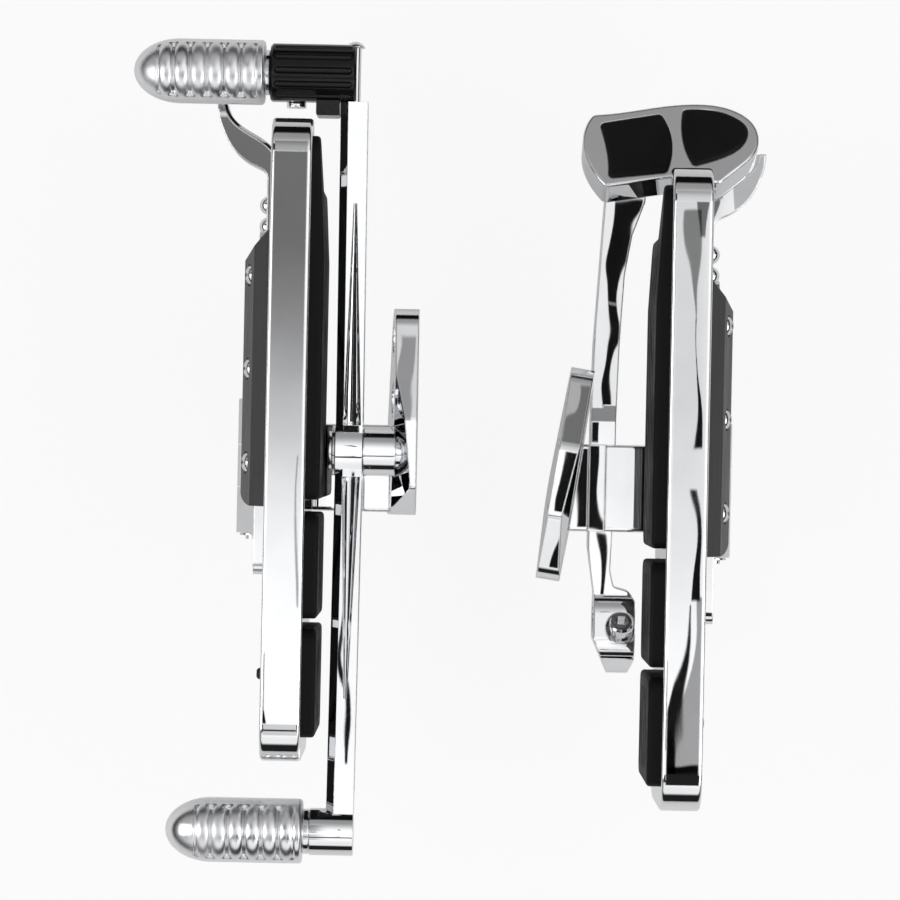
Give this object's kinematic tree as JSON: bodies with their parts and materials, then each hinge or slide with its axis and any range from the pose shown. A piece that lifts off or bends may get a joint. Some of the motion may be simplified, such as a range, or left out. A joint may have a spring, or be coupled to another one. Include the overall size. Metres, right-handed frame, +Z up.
{
  "type": "pair of motorcycle floorboards",
  "caption": "Folding chrome motorcycle floorboards with rubber pads, a heel and toe shift lever on the left and a brake lever on the right.",
  "frame": {"origin": "centre of the left bracket's two frame bolts, on its mounting face", "axes": "+X towards the motorcycle's right, +Y forward, +Z up; both boards are folded up"},
  "size_m": [0.3272, 0.4207, 0.1465],
  "materials": {
    "polished_chrome": "polished",
    "black_rubber": "matte",
    "black_coated_metal": "gloss",
    "black_steel": "satin",
    "bronze_bush": "satin",
    "grey_wear_plastic": "satin",
    "plated_screws": "satin"
  },
  "bodies": {
    "frame_side": {"left_bracket": "polished_chrome", "left_hinge_pin": "plated_screws", "left_hinge_clip": "plated_screws", "shift_pivot_post": "polished_chrome", "shift_pivot_washer": "polished_chrome", "shift_pivot_screw": "polished_chrome", "right_bracket": "polished_chrome", "right_hinge_pin": "plated_screws", "right_hinge_clip": "plated_screws", "brake_pivot_post": "polished_chrome", "brake_pivot_washer": "polished_chrome", "brake_pivot_screw": "polished_chrome"},
    "left_board": {"left_board_casting": "polished_chrome", "left_front_pad": "black_rubber", "left_middle_pad": "black_rubber", "left_heel_pad": "black_rubber", "left_pad_studs": "black_steel", "left_pad_nuts": "black_steel", "left_wear_block": "grey_wear_plastic", "left_wear_block_screws": "plated_screws", "left_horn": "polished_chrome", "left_horn_bolts": "polished_chrome"},
    "right_board": {"right_board_casting": "polished_chrome", "right_front_pad": "black_rubber", "right_middle_pad": "black_rubber", "right_heel_pad": "black_rubber", "right_pad_studs": "black_steel", "right_pad_nuts": "black_steel", "right_wear_block": "grey_wear_plastic", "right_wear_block_screws": "plated_screws", "right_horn": "polished_chrome", "right_horn_bolts": "polished_chrome"},
    "shift_lever_body": {"shift_lever": "polished_chrome", "shift_pivot_bush": "bronze_bush", "toe_clamp": "black_coated_metal", "toe_clamp_bolt": "polished_chrome", "toe_lock_nut": "polished_chrome", "toe_peg_collar": "polished_chrome", "toe_peg": "polished_chrome", "heel_peg_collar": "polished_chrome", "heel_peg": "polished_chrome"},
    "brake_lever_body": {"brake_lever": "polished_chrome", "brake_pivot_bush": "bronze_bush", "brake_pinch_bolt": "plated_screws", "brake_pinch_washer": "plated_screws", "brake_pad_tray": "polished_chrome", "brake_pad_screw": "plated_screws", "brake_pad_rubber_inner": "black_rubber", "brake_pad_rubber_outer": "black_rubber"}
  },
  "joints": [
    {"name": "left_board_fold", "type": "hinge", "parent": "frame_side", "child": "left_board", "pos_m": [-0.086, -0.052, -0.021], "axis": [0, -1, 0], "range_deg": [0, 90]},
    {"name": "right_board_fold", "type": "hinge", "parent": "frame_side", "child": "right_board", "pos_m": [0.158, -0.06, -0.021], "axis": [0, 1, 0], "range_deg": [0, 90]},
    {"name": "shift_lever_pivot", "type": "hinge", "parent": "frame_side", "child": "shift_lever_body", "pos_m": [-0.028, -0.043, 0.008], "axis": [1, 0, 0], "range_deg": [-7, 7]},
    {"name": "brake_lever_pivot", "type": "hinge", "parent": "frame_side", "child": "brake_lever_body", "pos_m": [0.0925, -0.06, -0.047], "axis": [1, 0, 0], "range_deg": [-8, 0]}
  ]
}
